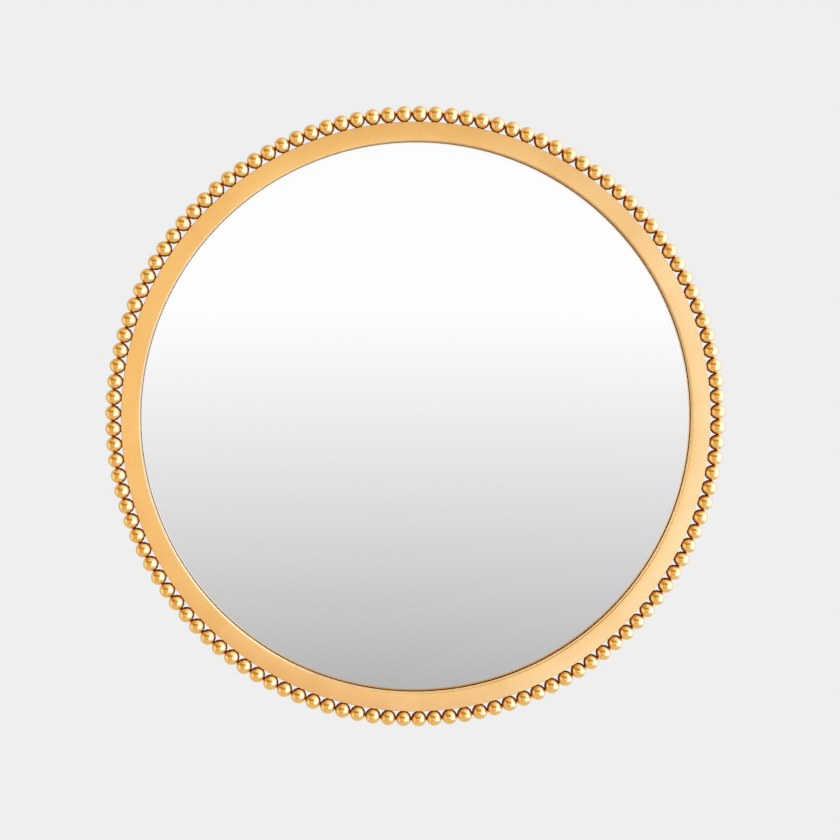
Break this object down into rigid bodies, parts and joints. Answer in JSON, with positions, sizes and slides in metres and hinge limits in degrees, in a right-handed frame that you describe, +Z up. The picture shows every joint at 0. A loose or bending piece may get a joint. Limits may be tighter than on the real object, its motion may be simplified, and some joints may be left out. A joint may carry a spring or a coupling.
{
  "type": "wall mirror",
  "caption": "Round wall mirror with a gilded band frame, a ring of touching balls round its edge and swinging D-rings on its back.",
  "frame": {"origin": "centre of the mirror on the wall plane, the plane of the hoop's rear rim", "axes": "+Y into the wall, -Y out of the glass towards the viewer, +Z up, +X to the viewer's right"},
  "size_m": [0.7978, 0.0332, 0.798],
  "materials": {
    "gilding": "gold leaf over dark red primer, lacquered, satin",
    "silvered_glass": "polished, with ground arrises and a painted back",
    "fibre_board": "raw medium density fibre board",
    "foam_tape": "black foam tape",
    "plated_steel": "zinc plated",
    "black_rubber": "matt"
  },
  "bodies": {
    "frame": {"outer_hoop": "gilding", "front_ring": "gilding", "glass_ledge": "gilding", "ball_arc_01": "gilding", "ball_arc_02": "gilding", "ball_arc_03": "gilding", "ball_arc_04": "gilding", "ball_arc_05": "gilding", "ball_arc_06": "gilding", "ball_arc_07": "gilding", "ball_arc_08": "gilding", "ball_arc_09": "gilding", "ball_arc_10": "gilding", "ball_arc_11": "gilding", "ball_arc_12": "gilding", "seating_tape": "foam_tape", "mirror_glass": "silvered_glass", "backing_board": "fibre_board", "board_lugs": "gilding", "board_screws": "plated_steel", "hanger_strap_left": "plated_steel", "hanger_strap_right": "plated_steel", "hanger_screws_left": "plated_steel", "hanger_screws_right": "plated_steel", "wall_bumpers": "black_rubber"},
    "ring_left": {"d_ring_left": "plated_steel"},
    "ring_right": {"d_ring_right": "plated_steel"}
  },
  "joints": [
    {"name": "ring_left_swing", "type": "hinge", "parent": "frame", "child": "ring_left", "pos_m": [-0.215, -0.0038, 0.2], "axis": [1, 0, 0], "range_deg": [0, 177]},
    {"name": "ring_right_swing", "type": "hinge", "parent": "frame", "child": "ring_right", "pos_m": [0.215, -0.0038, 0.2], "axis": [1, 0, 0], "range_deg": [0, 177]}
  ]
}
